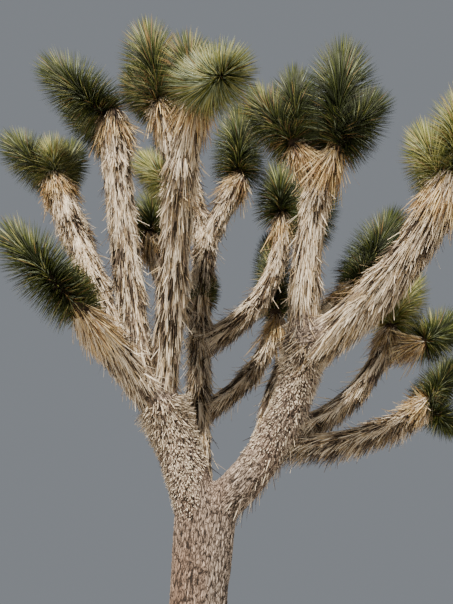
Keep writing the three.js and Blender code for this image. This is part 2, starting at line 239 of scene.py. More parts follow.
class GrowthLine:
    """A limb's centre line: an arc that sets out one way and swings evenly round to another."""

    def __init__(self, start, length, leaves, arrives, radii):
        self.start, self.length, self.radii = np.asarray(start, float), length, radii
        self.first, self.last = heading(*leaves), heading(*arrives)
        self.bend = max(math.acos(min(1.0, self.first @ self.last)), 1e-4)
        across = np.cross(self.first, self.last)
        if np.linalg.norm(across) < 1e-6:
            across = np.cross((0, 1, 0), self.first)
        self.across = unit(across)

    def point(self, share):
        share = np.asarray(share, float)[..., None]
        scale = self.length / (self.bend * math.sin(self.bend))
        ahead = np.cos((1 - share) * self.bend) - math.cos(self.bend)
        turned = 1 - np.cos(share * self.bend)
        return self.start + scale * (ahead * self.first + turned * self.last)

    def way(self, share):
        share = np.asarray(share, float)[..., None]
        return unit(np.sin((1 - share) * self.bend) * self.first + np.sin(share * self.bend) * self.last)

    def radius(self, share):
        return self.radii[0] + (self.radii[1] - self.radii[0]) * np.clip(share, 0, 1)

    def skin(self, share, turn, radius):
        """Points round the line at a radius, the ways straight out there, and the ways along it."""
        along = self.way(share)
        side = np.cross(along, self.across)
        outward = side * np.cos(turn)[:, None] + self.across * np.sin(turn)[:, None]
        return self.point(share) + outward * np.asarray(radius)[:, None], outward, along


lines = {}
for name, carrier, at, length, leaves, arrives, radii in LIMBS:
    root = lines[carrier].point(at) if carrier else (0, 0, 0)
    lines[name] = GrowthLine(root, length, leaves, arrives, radii)


def trunk_radius(line, share, turn):
    """The trunk's radius with its flare, the ridges of its main roots and the swell under its fork."""
    height = share * line.length
    foot = np.maximum(0, 1 - height / FOOT_HEIGHT) ** 2
    swell = FORK_SWELL * np.maximum(0, 1 - (line.length - height) / SWELL_LENGTH) * np.cos(turn) ** 2
    ridges = 1 + LOBE_DEPTH * foot * (np.cos(FOOT_LOBES * turn) + np.sin(SECOND_LOBES * turn))
    parting = PARTING_DEPTH * np.clip((height - PARTING_START) / PARTING_LENGTH, 0, 1)
    ridges = ridges + parting * np.cos(2 * turn)
    return (line.radius(share) + swell) * (1 + (FOOT_SPREAD - 1) * foot) * ridges


def tube(line, shares, sides, radius_of):
    """Rings of vertices along a line with a point at each end, as vertices and triangles."""
    turns = np.arange(sides) * (2 * math.pi / sides)
    share = np.repeat(shares, sides)
    turn = np.tile(turns, len(shares))
    ring, _, _ = line.skin(share, turn, radius_of(line, share, turn))
    vertices = np.vstack([ring, line.point(shares[0]), line.point(shares[-1])])
    step = np.arange(sides)
    after = (step + 1) % sides
    faces = []
    for k in range(len(shares) - 1):
        low, high = k * sides, (k + 1) * sides
        faces.append(np.column_stack([low + step, low + after, high + after]))
        faces.append(np.column_stack([low + step, high + after, high + step]))
    first, last, top = len(ring), len(ring) + 1, (len(shares) - 1) * sides
    faces.append(np.column_stack([np.full(sides, first), after, step]))
    faces.append(np.column_stack([np.full(sides, last), top + step, top + after]))
    return vertices, np.vstack(faces)


def joined(parts):
    """Several meshes of triangles as one."""
    starts = np.cumsum([0] + [len(v) for v, _ in parts[:-1]])
    return np.vstack([v for v, _ in parts]), np.vstack([f + s for (_, f), s in zip(parts, starts)])


def remeshed(vertices, faces, grain):
    """One closed skin round tubes that run into each other, as vertices and four-sided faces."""
    rough = new_piece("rough", vertices, faces, None)
    cover = rough.modifiers.new("cover", "REMESH")
    cover.mode = "VOXEL"
    cover.voxel_size = grain
    solved = rough.evaluated_get(bpy.context.evaluated_depsgraph_get())
    mesh = bpy.data.meshes.new_from_object(solved)
    points = np.empty(len(mesh.vertices) * 3, np.float32)
    mesh.vertices.foreach_get("co", points)
    corners = np.empty(len(mesh.loops), np.int32)
    mesh.loops.foreach_get("vertex_index", corners)
    bpy.data.objects.remove(rough)
    bpy.data.meshes.remove(mesh)
    return points.reshape(-1, 3).astype(float), corners.reshape(-1, 4)


def smoothed(vertices, faces, rounds):
    """Each vertex moved half way to the middle of its neighbours, again and again."""
    ends = np.vstack([faces[:, [0, 1]], faces[:, [1, 2]], faces[:, [2, 3]], faces[:, [3, 0]]])
    count = np.bincount(ends[:, 0], minlength=len(vertices))[:, None]
    for _ in range(rounds):
        total = np.column_stack(
            [np.bincount(ends[:, 0], vertices[ends[:, 1], k], len(vertices)) for k in range(3)]
        )
        vertices = 0.5 * (vertices + total / count)
    return vertices


def vertex_normals(vertices, faces):
    a, b, c, d = (vertices[faces[:, k]] for k in range(4))
    flat = np.cross(c - a, d - b)
    total = np.zeros_like(vertices)
    for k in range(3):
        for corner in range(4):
            total[:, k] += np.bincount(faces[:, corner], flat[:, k], len(vertices))
    return unit(total)


def scattered(cell, salt):
    """A number from 0 to 1 for each row of whole numbers, the same on every run."""
    mixed = (cell * np.array([73856093, 19349663, 83492791])).sum(-1) + salt * 2654435761
    mixed = (mixed ^ (mixed >> 13)) * 1274126177 & 0xFFFFFFFF
    mixed = (mixed ^ (mixed >> 16)) * 2246822519 & 0xFFFFFFFF
    return (mixed ^ (mixed >> 15)) % 65536 / 65536


def chips(places):
    """For points in cells round scattered seeds: the distance to the cell's edge and the cell's lift."""
    whole = np.floor(places).astype(np.int64)
    near = np.full(len(places), 9.0)
    second = near.copy()
    lift = np.zeros(len(places))
    for dx in (-1, 0, 1):
        for dy in (-1, 0, 1):
            for dz in (-1, 0, 1):
                cell = whole + (dx, dy, dz)
                seed = cell + np.column_stack([scattered(cell, salt) for salt in (1, 2, 3)])
                gap = np.linalg.norm(seed - places, axis=1)
                closer = gap < near
                second = np.where(closer, near, np.minimum(second, gap))
                lift = np.where(closer, scattered(cell, 4), lift)
                near = np.minimum(near, gap)
    return second - near, lift


def swells(places):
    """Slow rises and falls between 0 and 1, from scattered values blended over each cell."""
    whole = np.floor(places).astype(np.int64)
    part = places - whole
    ease = part * part * (3 - 2 * part)
    total = np.zeros(len(places))
    for corner in np.ndindex(2, 2, 2):
        weight = np.prod(np.where(corner, ease, 1 - ease), axis=1)
        total += weight * scattered(whole + corner, 5)
    return total


def nearest_line(points, names):
    """Of the named limbs, the one whose skin is nearest to each point, its share there and the gap."""
    best = np.full(len(points), 1e9)
    owner = np.zeros(len(points), int)
    share = np.zeros(len(points))
    for number, name in enumerate(names):
        line = lines[name]
        steps = np.linspace(0, 1, max(6, int(line.length / LINE_STEP)))
        centres = line.point(steps)
        for start in range(0, len(points), BATCH):
            some = slice(start, start + BATCH)
            apart = np.linalg.norm(points[some, None] - centres[None], axis=2) - line.radius(steps)
            step = apart.argmin(1)
            gap = apart[np.arange(len(step)), step]
            closer = gap < best[some]
            best[some] = np.where(closer, gap, best[some])
            owner[some] = np.where(closer, number, owner[some])
            share[some] = np.where(closer, steps[step], share[some])
    return owner, share, best


def local_place(points, names, owner, share):
    """Each point as (sideways, across, along) on its own limb, so that the chips run along that."""
    places = np.zeros_like(points)
    for number, name in enumerate(names):
        mine = owner == number
        line = lines[name]
        along = line.way(share[mine])
        apart = points[mine] - line.point(share[mine])
        extra = (apart * along).sum(1)
        side = np.cross(along, line.across)
        places[mine, 0] = (apart * side).sum(1) + number
        places[mine, 1] = apart @ line.across
        places[mine, 2] = share[mine] * line.length + extra
    return places


def flared_radius(line, share):
    """A limb's radius, which spreads where it sets out from a thicker bough."""
    if line not in on_bark:
        return line.radius(share)
    near = np.clip(1 - share * line.length / SPREAD_LENGTH, 0, 1)
    return line.radius(share) * (1 + LIMB_SPREAD * near ** 2)


def bark_radius(line, share, turn):
    if line is lines["trunk"]:
        return trunk_radius(line, share, turn)
    sunk = BARK_SINK * share * line.length / ROOT_LENGTH if line in on_bark else 0
    return flared_radius(line, share) * (BARK_SHARE - sunk)


limb_names = [row[0] for row in LIMBS]
carried_by_bark = [row[0] for row in LIMBS if row[1] in WITH_BARK and row[0] not in WITH_BARK]
on_bark = [lines[name] for name in carried_by_bark]
parts = []
for name in WITH_BARK:
    end = TRUNK_END if name == "trunk" else 1
    parts.append(tube(lines[name], np.linspace(0, end, BARK_RINGS), BARK_SIDES, bark_radius))
for name in carried_by_bark:
    reach = ROOT_LENGTH / lines[name].length
    parts.append(tube(lines[name], np.linspace(0, reach, ROOT_RINGS), ROOT_SIDES, bark_radius))
skin, quads = remeshed(*joined(parts), BARK_GRAIN)
below = skin[:, 2] < BARK_GRAIN  # the flat cut at the ground
settled = np.clip(skin[:, 2] / CUT_EDGE - CUT_SHARP, 0, 1)[:, None]
skin = skin + settled * (smoothed(skin, quads, FORK_ROUNDS) - skin)
skin[:, 2] = np.where(below, 0, np.maximum(skin[:, 2], 0))

bark_names = list(WITH_BARK) + carried_by_bark
owner, share, _ = nearest_line(skin, bark_names)
places = local_place(skin, bark_names, owner, share)
wavy = places + (swells(places / CHIP_WAVE)[:, None] - 0.5) * CHIP_WAVER
edge, lift = chips(wavy / (CHIP_WIDTH, CHIP_WIDTH, CHIP_HEIGHT))
top = np.clip(edge / FURROW_SHARE, 0, 1)
top = top * top * (3 - 2 * top)
rise = (top - 1) * FURROW_DEPTH + top * (lift - 0.5) * CHIP_LIFT
rise += (swells(skin / LUMP_SIZE) - 0.5) * LUMP_DEPTH
normals = vertex_normals(skin, quads)
on_trunk = np.clip((RUSTY_TOP - skin[:, 2]) / RUSTY_FADE, 0, 1)
left_side = np.clip(-RUSTY_TURN * normals[:, 0], -1, 1)
warm = BOUGH_RUST + on_trunk * (TRUNK_RUST + RIDGE_RUST * left_side)
warm += PATCH_RUST * (swells(skin / RUST_PATCH) - 0.5)
rise *= np.where(below, 0, 1)
skin = skin + normals * rise[:, None]
skin[:, 2] = np.maximum(skin[:, 2], 0)

# Cork and worn leaf bases: quite matt, grey where bleached and rusty where they are worn, lighter on
# the chips' tops because painted shade darkens the furrows, and nearly black in the cracks with painted
# shade, so that it reads as fine upright dashes.
cork, nodes, out = new_material("corky_bark")
place = add(nodes, "ShaderNodeAttribute", attribute_name="place")
warmth = add(nodes, "ShaderNodeAttribute", attribute_name="warm")
hue = add(nodes, "ShaderNodeValToRGB", {"Fac": warmth.outputs["Fac"]})
hue.color_ramp.elements[0].position = 0.15
hue.color_ramp.elements[0].color = colour("#b4a69b")
hue.color_ramp.elements[1].position = 0.9
hue.color_ramp.elements[1].color = colour("#937b6b")
stray = add(nodes, "ShaderNodeTexNoise",
            {"Vector": place.outputs["Vector"], "Scale": 1 / CRACK_WAVE, "Detail": 2.0})
wander = add(nodes, "ShaderNodeVectorMath", {0: stray.outputs["Color"], 1: CRACK_WAVER},
             operation="MULTIPLY")
bent = add(nodes, "ShaderNodeVectorMath", {0: place.outputs["Vector"], 1: wander.outputs[0]},
           operation="ADD")
cells = add(nodes, "ShaderNodeMapping",
            {"Vector": bent.outputs[0], "Scale": (1 / CRACK_WIDTH, 1 / CRACK_WIDTH, 1 / CRACK_HEIGHT)})
crack = add(nodes, "ShaderNodeTexVoronoi", {"Vector": cells.outputs[0], "Scale": 1.0},
            feature="DISTANCE_TO_EDGE")
# Painted shade: the cracks go nearly black.
gap = add(nodes, "ShaderNodeValToRGB", {"Fac": crack.outputs["Distance"]})
gap.color_ramp.elements[0].position = 0.02
gap.color_ramp.elements[0].color = CRACK_SHADE
gap.color_ramp.elements[1].position = 0.17
gap.color_ramp.elements[1].color = (1, 1, 1, 1)
flake = add(nodes, "ShaderNodeTexVoronoi", {"Vector": cells.outputs[0], "Scale": 1.0}, feature="F1")
speck = add(nodes, "ShaderNodeValToRGB", {"Fac": flake.outputs["Color"]})
speck.color_ramp.elements[0].position = 0.2
speck.color_ramp.elements[0].color = WORN_FLAKE
speck.color_ramp.elements[1].position = 0.8
speck.color_ramp.elements[1].color = BLEACHED_FLAKE
# Painted shade: the furrows between the chips' tops go dark.
chip_top = add(nodes, "ShaderNodeAttribute", attribute_name="chip")
shade = add(nodes, "ShaderNodeValToRGB", {"Fac": chip_top.outputs["Fac"]})
shade.color_ramp.elements[0].color = FURROW_SHADE
shade.color_ramp.elements[1].position = 0.7
shade.color_ramp.elements[1].color = (1, 1, 1, 1)
# A mix takes its two colours in at 6 and 7, and gives the result out at 2.
tinted = add(nodes, "ShaderNodeMix", {"Factor": 1.0, 6: hue.outputs[0], 7: speck.outputs[0]},
             data_type="RGBA", blend_type="MULTIPLY", clamp_result=False)
crack_shaded = add(nodes, "ShaderNodeMix", {"Factor": 0.95, 6: tinted.outputs[2], 7: gap.outputs[0]},
            data_type="RGBA", blend_type="MULTIPLY", clamp_result=False)
shaded = add(nodes, "ShaderNodeMix", {"Factor": 1.0, 6: crack_shaded.outputs[2], 7: shade.outputs[0]},
             data_type="RGBA", blend_type="MULTIPLY")
bump = add(nodes, "ShaderNodeBump", {"Height": gap.outputs[0], "Strength": 0.7, "Distance": CRACK_DEPTH})
surface = add(nodes, "ShaderNodeBsdfPrincipled",
              {"Base Color": shaded.outputs[2], "Roughness": 0.93, "Normal": bump.outputs[0]})
nodes.links.new(surface.outputs[0], out.inputs[0])

face_owner = owner[quads[:, 0]]
for name, chosen, replaced in (
    ("trunk_bark", face_owner == 0, ["trunk"]),
    ("bough_bark", face_owner != 0, ["left_bough", "right_bough"]),
):
    used, corners = np.unique(quads[chosen], return_inverse=True)
    piece = new_piece(name, skin[used], corners.reshape(-1, 4), cork)
    # chip holds how far each point is from a furrow towards a chip's top, for the painted shade in the
    # furrows.
    for kind, values in (("chip", top), ("warm", warm)):
        layer = piece.data.attributes.new(kind, "FLOAT", "POINT")
        layer.data.foreach_set("value", values[used].astype(np.float32))
    layer = piece.data.attributes.new("place", "FLOAT_VECTOR", "POINT")
    layer.data.foreach_set("vector", places[used].astype(np.float32).ravel())
    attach(piece, "root")
    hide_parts(*replaced)


# Limb wood
# Under the thatch every limb is a plain living stem out of the sun, its own dark brown darkened further
# with painted shade. It carries on into its heads as the stem that the leaves stand on.
HEADS = [  # name, limb, share of the limb's length, stem's length, way, leaf's length, tones
    ("low_left_head", "low_left_limb", 0.98, 0.57, (-160, 43), 0.24, "green"),
    ("low_left_side_head", "low_left_limb", 0.93, 0.3, (165, 60), 0.16, "green"),
    ("outer_left_head", "outer_left_limb", 0.98, 0.45, (-178, 43), 0.245, "green"),
    ("outer_left_pale_head", "outer_left_limb", 0.98, 0.22, (-115, 75), 0.22, "pale"),
    ("outer_left_back_head", "outer_left_limb", 0.95, 0.45, (75, 66), 0.22, "green"),
    ("inner_left_head", "inner_left_limb", 0.98, 0.57, (-172, 42), 0.3, "green"),
    ("front_left_head", "front_fork_left", 0.95, 0.58, (160, 78), 0.28, "olive"),
    ("front_left_side_head", "front_fork_left", 0.9, 0.4, (145, 55), 0.22, "olive"),
    ("front_top_head", "front_fork_right", 0.95, 0.34, (140, 78), 0.26, "olive"),
    ("front_facing_head", "front_fork_right", 0.98, 0.43, (-60, -19), 0.265, "bright"),
    ("front_side_head", "front_limb", 0.86, 0.36, (155, 50), 0.18, "pale"),
    ("stub_head", "stub_limb", 0.98, 0.34, (70, 82), 0.23, "green"),
    ("shaded_right_head", "shaded_fork_right", 0.98, 0.66, (85, 82), 0.29, "green"),
    ("shaded_back_head", "shaded_fork_back", 0.98, 0.55, (110, 80), 0.3, "green"),
    ("shaded_side_head", "shaded_limb", 0.73, 0.3, (80, 60), 0.14, "green"),
    ("middle_head", "middle_limb", 0.98, 0.37, (110, 84), 0.29, "green"),
    ("crossing_head", "crossing_limb", 0.95, 0.8, (95, 78), 0.21, "green"),
    ("back_left_head", "back_left_limb", 0.98, 0.5, (175, 45), 0.28, "green"),
    ("tall_left_head", "tall_fork_left", 0.98, 0.52, (0, 90), 0.25, "dark"),
    ("tall_left_side_head", "tall_fork_left", 0.95, 0.52, (160, 60), 0.26, "olive"),
    ("tall_right_head", "tall_fork_right", 0.98, 0.72, (0, 82.5), 0.33, "dark"),
    ("tall_right_side_head", "tall_fork_right", 0.98, 0.36, (-25, 45), 0.24, "dark"),
    ("hidden_dark_head", "hidden_limb", 0.95, 0.25, (0, 55), 0.17, "dark"),
    ("hidden_light_head", "hidden_limb", 0.98, 0.68, (15, 59), 0.27, "dark"),
    ("back_right_head", "back_right_limb", 0.98, 0.48, (15, 74), 0.22, "green"),
    ("long_left_head", "long_limb", 0.93, 0.4, (145, 78), 0.235, "pale"),
    ("long_right_head", "long_limb", 0.98, 0.52, (-30, 72), 0.27, "pale"),
    ("outer_right_head", "outer_right_limb", 0.98, 0.45, (20, 62), 0.23, "pale"),
    ("outer_right_side_head", "short_fork", 0.98, 0.28, (20, 30), 0.25, "green"),
    ("low_right_head", "low_right_limb", 0.98, 0.33, (15, 48), 0.185, "green"),
    ("low_right_end_head", "low_right_limb", 0.98, 0.2, (15, -40), 0.17, "green"),
]
WOOD_SHARE = 0.83  # of the limb's radius, which takes in the thatch
WOOD_SIDES = 12
WOOD_STEP = 0.08  # between the rings of a stem's mesh
WOOD_PATCH = 0.025  # size of the stem's darker and lighter patches
STEM_RADII = (0.05, 0.03)  # of the stem in a head, at its foot and its tip
STEM_RINGS = 6
STEM_SIDES = 8

stems = {}
for name, limb, at, stem, way, leaf, tone in HEADS:
    stems[name] = GrowthLine(lines[limb].point(at), stem, way, way, STEM_RADII)

# Fibrous outer wood that the sun never reaches: dark brown and matt, and nearly black with painted
# shade, so that it is seen only as darkness between the dead leaves.
wood, nodes, out = new_material("painted_shade_stem_wood")
place = add(nodes, "ShaderNodeTexCoord").outputs["Object"]
patches = add(nodes, "ShaderNodeTexNoise", {"Vector": place, "Scale": 1 / WOOD_PATCH, "Detail": 3.0})
# Painted shade: the wood's browns run down to nearly black.
hue = add(nodes, "ShaderNodeValToRGB", {"Fac": patches.outputs[0]})
hue.color_ramp.elements[0].color = colour("#1f1711")
hue.color_ramp.elements[1].color = colour("#4d3d2f")
surface = add(nodes, "ShaderNodeBsdfPrincipled", {"Base Color": hue.outputs[0], "Roughness": 0.95})
nodes.links.new(surface.outputs[0], out.inputs[0])


def wood_radius(line, share, turn):
    return flared_radius(line, share) * WOOD_SHARE


thatched = [name for name in limb_names if name not in WITH_BARK]
parts = []
for name in thatched:
    shares = np.linspace(0, 1, max(4, int(lines[name].length / WOOD_STEP)))
    parts.append(tube(lines[name], shares, WOOD_SIDES, wood_radius))
for name in stems:
    shares = np.linspace(0, 1, STEM_RINGS)
    parts.append(tube(stems[name], shares, STEM_SIDES, lambda line, share, turn: line.radius(share)))
vertices, faces = joined(parts)
piece = new_piece("limb_wood", vertices, faces, wood)
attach(piece, "root")
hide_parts(*thatched)


# Thatch
# Leaves that die stay on. They fold back down the limb and overlap like a thatch: long stiff blades,
# cream where the sun has bleached them and grey or brown where they are old, with dark gaps between.
# On top of that, tufts that stand out get the lighter tones and leaves low in the gaps the darker ones:
# painted light and shade.
GOLDEN_ANGLE = math.pi * (3 - math.sqrt(5))  # from each leaf to the next, round its stem
THATCH_ROOT = 0.84  # of the limb's radius
THATCH_AREA = 0.00012  # of the limb's skin for each leaf
THATCH_LENGTH = (0.07, 0.15)
THATCH_WIDTH = 0.0068
TIP_SHARE = 0.35  # of its width, at the tip
WIDTH_RANGE = (0.75, 1.2)
TURN_UNEVEN = 0.2  # how far a leaf stands from its even place round the limb
STREAK_WIDTH = 0.011  # leaves stand in tufts, which run down the limb as streaks
STREAK_LENGTH = 0.13
STREAK_HEIGHT = 0.026  # how far the tufts stand out past the gaps
STREAK_MIDDLE = 0.6  # a streak of this strength stands at the thatch's own height
ROLL = 0.45  # how unevenly the blades lie, and how far they are wrung towards the tip
TWIST = 0.5
LIE = (2, 13)  # degrees that a leaf stands off the limb
FLARE = 24  # degrees more, just under the head
FLARE_REACH = 0.22  # how far down the limb the flare fades
FLARE_EASE = 1.5
HANG = 0.14  # how much its weight turns it down
HANG_UNDER = 0.8  # more, under a limb that leans
FRINGE = 0.25  # and how much longer the leaves are there
COLLARS = 26  # degrees more, in rough collars where a year's growth ended
COLLAR_SIZE = (0.3, 0.3, 0.16)
COLLAR_START, COLLAR_FADE = 0.62, 0.2  # of the slow swells that place the collars
STRAYS = 0.04  # share of the leaves that stick out on their own
STRAY_LEAN = (15, 50)
SWAY = 0.09  # how far it strays sideways
TONES = {  # the lightest and the darkest leaf of each
    "bleached": ("#f7ecda", "#d3c4ac"),
    "straw": ("#d0ba96", "#a48d6c"),
    "weathered": ("#92806f", "#5c4d43"),
    "brown": ("#44331f", "#1d150f"),
}
TONE_STEPS = (0.34, 0.52, 0.72)  # shares of the leaves, from the lightest tone on
# A leaf's tone hangs on chance, patches and age, and on painted light and shade by how far its tuft stands
# out.
TONE_CHANCE, PAINTED_TUFT_SHADE, TONE_PATCH, TONE_AGE = 0.4, 1.1, 0.15, 0.04  # what a leaf's tone hangs on
TONE_PATCH_SIZE = 0.12
WOOD_MARGIN = 0.01  # a root nearer than this to the skin of another limb's wood still shows
BURIED_STEP = 0.06  # between the points of a limb's line that a root is held against
BARK_FULL = 0.95  # of a barked limb's radius, inside which nothing shows
rng = np.random.default_rng(41)


def blades(roots, ways, wides, lengths, widths):
    """Flat strips, each rolled its own way, narrower towards a blunt tip and twisted on the way there."""
    wides = unit(wides - ways * (wides * ways).sum(1)[:, None])
    lifts = np.cross(wides, ways)
    roll = rng.normal(0, ROLL, len(roots))[:, None]
    twist = roll + rng.normal(0, TWIST, len(roots))[:, None]
    half = (wides * np.cos(roll) + lifts * np.sin(roll)) * (widths / 2)[:, None]
    narrow = (wides * np.cos(twist) + lifts * np.sin(twist)) * (TIP_SHARE * widths / 2)[:, None]
    tips = roots + ways * lengths[:, None]
    vertices = np.stack([roots - half, roots + half, tips + narrow, tips - narrow], 1).reshape(-1, 3)
    corners = np.array([[0, 1, 2], [0, 2, 3]])
    faces = (corners[None] + np.arange(len(roots))[:, None, None] * 4).reshape(-1, 3)
    return vertices, faces


def dry_leaf(tone, light, dark):
    """Dead leaf fibre: stiff and dull with a faint silk along the blade. Sun turns it cream and age
    turns it brown, and each blade is a little lighter or darker than the next."""
    made, nodes, out = new_material("dry_leaf_" + tone)
    each = add(nodes, "ShaderNodeNewGeometry").outputs["Random Per Island"]
    hue = add(nodes, "ShaderNodeValToRGB", {"Fac": each})
    hue.color_ramp.elements[0].color = colour(dark)
    hue.color_ramp.elements[1].color = colour(light)
    surface = add(nodes, "ShaderNodeBsdfPrincipled", {"Base Color": hue.outputs[0], "Roughness": 0.75})
    nodes.links.new(surface.outputs[0], out.inputs[0])
    return made


def buried(points, own, margin):
    """Which points lie inside the wood of a limb other than their own."""
    hidden = np.zeros(len(points), bool)
    for number, name in enumerate(limb_names):
        line = lines[name]
        steps = np.linspace(0, 1, max(6, int(line.length / BURIED_STEP)))
        centres = line.point(steps)
        share = BARK_FULL if name in WITH_BARK else WOOD_SHARE
        for start in range(0, len(points), BATCH):
            some = slice(start, start + BATCH)
            apart = np.linalg.norm(points[some, None] - centres[None], axis=2)
            inside = (apart < line.radius(steps) * share - margin).any(1)
            hidden[some] |= inside & (own[some] != number)
    return hidden


def thatch_on(name, start, end, area, length_range, lie, root_share, streaks):
    """Dead leaves along a limb, each a golden angle round from the last."""
    line = lines[name]
    mean = line.radius(0.5 * (start + end))
    count = int(2 * math.pi * mean * line.length * (end - start) / area)
    number = np.arange(count)
    share = start + (end - start) * (number + rng.uniform(0, 1, count)) / count
    turn = number * GOLDEN_ANGLE + rng.normal(0, TURN_UNEVEN, count)
    around = (turn % (2 * math.pi)) * mean
    place = np.column_stack([around / STREAK_WIDTH, share * line.length / STREAK_LENGTH, np.zeros(count)])
    streak = swells(place + (0, 0, limb_names.index(name) + 0.5))
    reach = flared_radius(line, share) * root_share + (streak - STREAK_MIDDLE) * streaks
    root, outward, along = line.skin(share, turn, reach)
    left = (1 - share) * line.length
    flare = FLARE * np.clip(1 - left / FLARE_REACH, 0, 1) ** FLARE_EASE if end == 1 else 0
    collar = np.clip((swells(root / COLLAR_SIZE) - COLLAR_START) / COLLAR_FADE, 0, 1)
    stray = np.where(rng.uniform(0, 1, count) < STRAYS, rng.uniform(*STRAY_LEAN, count), 0)
    lean = rng.uniform(*lie, count) + flare + COLLARS * collar * rng.uniform(0, 1, count) + stray
    lean = np.radians(lean)
    way = -along * np.cos(lean)[:, None] + outward * np.sin(lean)[:, None]
    wide = np.cross(outward, along)
    way = way + wide * rng.normal(0, SWAY, count)[:, None]
    level = np.sqrt(1 - along[:, 2] ** 2)
    under = np.clip(-outward[:, 2], 0, 1) * level
    way[:, 2] -= HANG + HANG_UNDER * under
    lengths = rng.uniform(*length_range, count) * (1 + FRINGE * under)
    return dict(root=root, way=unit(way), wide=wide, length=lengths, age=left, streak=streak,
                facing=outward, own=np.full(count, limb_names.index(name)))


def gathered(groups):
    """Several groups of leaves as one."""
    return {key: np.concatenate([group[key] for group in groups]) for key in groups[0]}


def kept(group, mask):
    """The leaves of a group that the mask chooses."""
    return {key: value[mask] for key, value in group.items()}


dry = {tone: dry_leaf(tone, light, dark) for tone, (light, dark) in TONES.items()}
leaves = gathered([
    thatch_on(name, 0, 1, THATCH_AREA, THATCH_LENGTH, LIE, THATCH_ROOT, STREAK_HEIGHT) for name in thatched
])
leaves = kept(leaves, ~buried(leaves["root"], leaves["own"], WOOD_MARGIN))
count = len(leaves["root"])
# Painted light and shade: leaves of tufts that stand out draw lighter tones, and those low in the gaps
# darker ones.
draw = TONE_CHANCE * rng.uniform(0, 1, count) - PAINTED_TUFT_SHADE * leaves["streak"]
draw += TONE_PATCH * swells(leaves["root"] / TONE_PATCH_SIZE) + TONE_AGE * leaves["age"]
tone_of = np.digitize(draw, np.quantile(draw, TONE_STEPS))
for number, tone in enumerate(TONES):
    some = kept(leaves, tone_of == number)
    count = len(some["root"])
    widths = THATCH_WIDTH * rng.uniform(*WIDTH_RANGE, count)
    vertices, faces = blades(some["root"], some["way"], some["wide"], some["length"], widths)
    piece = new_piece("thatch_" + tone, vertices, faces, dry[tone])
    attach(piece, "root")
    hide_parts(*thatched)


# Stubs
# On the boughs the dead leaves have worn down to short stubs that stand out of the bark, fewer and
# fewer towards the fork. Under the right bough longer shreds still hang.
STUB_AREA = 0.00011
STUB_LENGTH = (0.010, 0.024)
STUB_GROWTH = 2.6  # how much longer they get towards a bough's end, where the thatch takes over
STUB_BLEND = 0.32  # over this length
STUB_LIE = (15, 75)  # degrees off the bough
STUB_WIDTH = 0.0060
STUB_WIDTHS = (0.7, 1.2)
STUB_ROOT = 0.955  # of the bough's radius
STUB_PATCH = 0.07  # size of the patches in which they have worn off, and how bare those are
STUB_BARE = 0.8
STUB_FADE = {  # how far from a bough's end they reach, and over what length they thin out
    "left_bough": (1.0, 0.35),
    "right_bough": (0.86, 0.5),
}
SHRED_AREA = 0.0008
SHRED_LENGTH = (0.03, 0.09)
SHRED_LIE = (15, 45)  # degrees off the bough
SHRED_REACH = (0.12, 0.8)  # shares of the bough's length
SHRED_ROOT = 0.95
UNDERSIDE = -0.35  # the upward part of the way out of the bough, below which they hang
SHRED_TONES = (0.6, 1)  # the darker end of the tones
STUB_TONES = {  # each tone of dead leaf, up to what share of the stubs
    "stubs_pale": ("bleached", 0.7),
    "stubs_grey": ("weathered", 0.9),
    "stubs_dark": ("brown", 1.0),
}


def stubs_on(name):
    """Stubs all round a bough, which thin out towards its root."""
    found = thatch_on(name, 0, 1, STUB_AREA, STUB_LENGTH, STUB_LIE, STUB_ROOT, 0)
    found["length"] *= 1 + STUB_GROWTH * np.clip(1 - found["age"] / STUB_BLEND, 0, 1)
    reach, fade = STUB_FADE[name]
    chance = (reach - found["age"]) / fade + STUB_BARE * (swells(found["root"] / STUB_PATCH) - 0.5)
    return kept(found, rng.uniform(0, 1, len(chance)) < chance)


shreds = thatch_on("right_bough", *SHRED_REACH, SHRED_AREA, SHRED_LENGTH, SHRED_LIE, SHRED_ROOT, 0)
shreds = kept(shreds, shreds["facing"][:, 2] < UNDERSIDE)
shreds = kept(shreds, ~buried(shreds["root"], shreds["own"], 0.0))
stubs = gathered([stubs_on("left_bough"), stubs_on("right_bough")])
stubs = gathered([kept(stubs, ~buried(stubs["root"], stubs["own"], 0.0)), shreds])
draw = rng.uniform(0, 1, len(stubs["root"]))
draw[-len(shreds["root"]):] = rng.uniform(*SHRED_TONES, len(shreds["root"]))
lowest = 0
for name, (tone, highest) in STUB_TONES.items():
    some = kept(stubs, (draw >= lowest) & (draw < highest))
    lowest = highest
    count = len(some["root"])
    widths = STUB_WIDTH * rng.uniform(*STUB_WIDTHS, count)
    vertices, faces = blades(some["root"], some["way"], some["wide"], some["length"], widths)
    piece = new_piece(name, vertices, faces, dry[tone])
    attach(piece, "root")
    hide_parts("left_bough", "right_bough")


